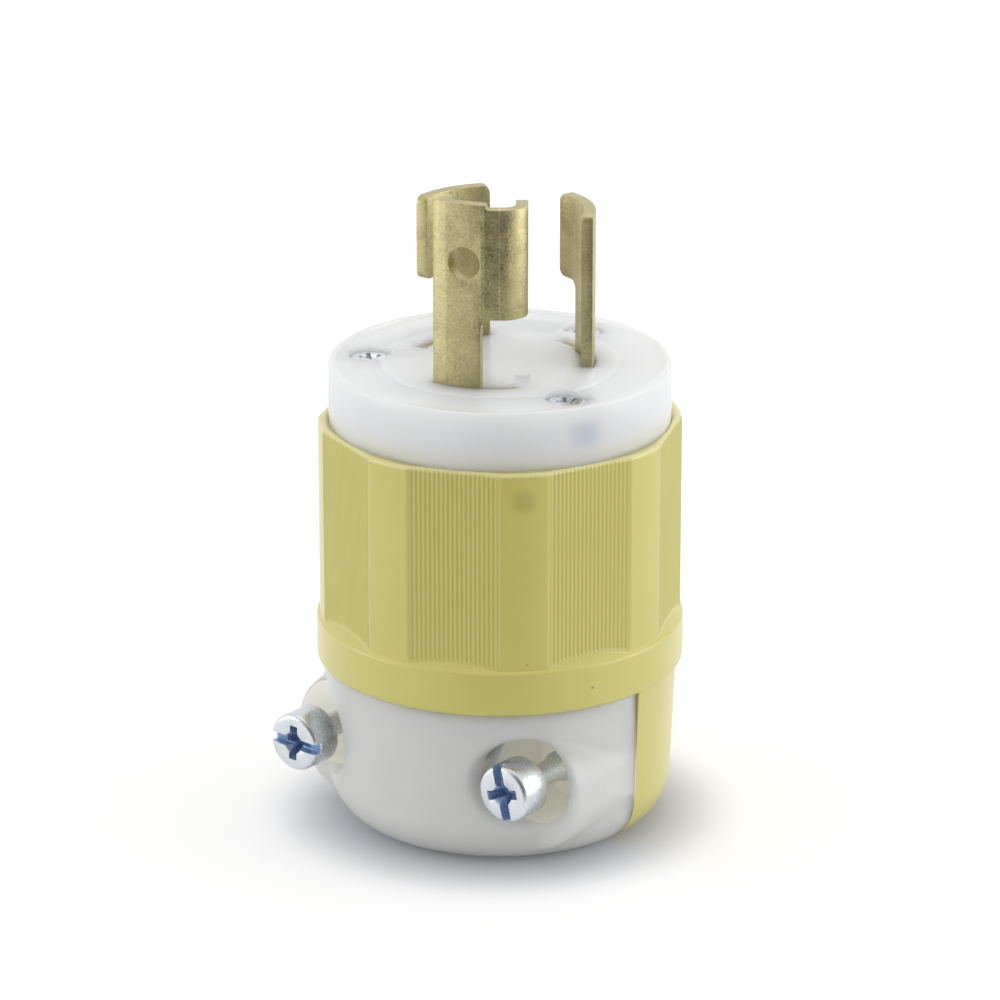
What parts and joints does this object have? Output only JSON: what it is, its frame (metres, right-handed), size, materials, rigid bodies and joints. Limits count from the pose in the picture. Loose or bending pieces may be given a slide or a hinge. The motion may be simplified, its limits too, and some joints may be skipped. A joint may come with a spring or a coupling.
{
  "type": "locking power plug",
  "caption": "Straight locking power plug with curved brass blades, a white face, a ribbed yellow grip and a screwed cord clamp.",
  "frame": {"origin": "centre of the mating face, the raised middle of the white face that the blades come through", "axes": "+Z along the plug's axis, out of the mating face along the blades; +Y is the way the two clamp screws are driven, so their heads face -Y; +X to the right when the clamp screws face the viewer"},
  "size_m": [0.035, 0.035, 0.063],
  "materials": {
    "white_nylon": "milky translucent, satin",
    "yellow_nylon": "satin moulded",
    "blade_brass": "stamped, satin",
    "zinc_steel": "zinc plated",
    "green_steel": "green plated",
    "dark_plastic": "moulded"
  },
  "bodies": {
    "root": {"front_body": "white_nylon", "back_shell": "yellow_nylon", "cord_clamp": "white_nylon", "blade_retainer": "dark_plastic", "ground_blade": "blade_brass", "line_blade": "blade_brass", "neutral_blade": "blade_brass", "ground_terminal_screw": "green_steel", "line_terminal_screw": "blade_brass", "neutral_terminal_screw": "zinc_steel", "ground_wire_clamp": "zinc_steel", "line_wire_clamp": "zinc_steel", "neutral_wire_clamp": "zinc_steel", "assembly_screw_1": "zinc_steel", "assembly_screw_2": "zinc_steel", "assembly_screw_3": "zinc_steel", "clamp_screw_left": "zinc_steel", "clamp_screw_right": "zinc_steel", "clamp_nut_left": "zinc_steel", "clamp_nut_right": "zinc_steel"}
  },
  "joints": []
}
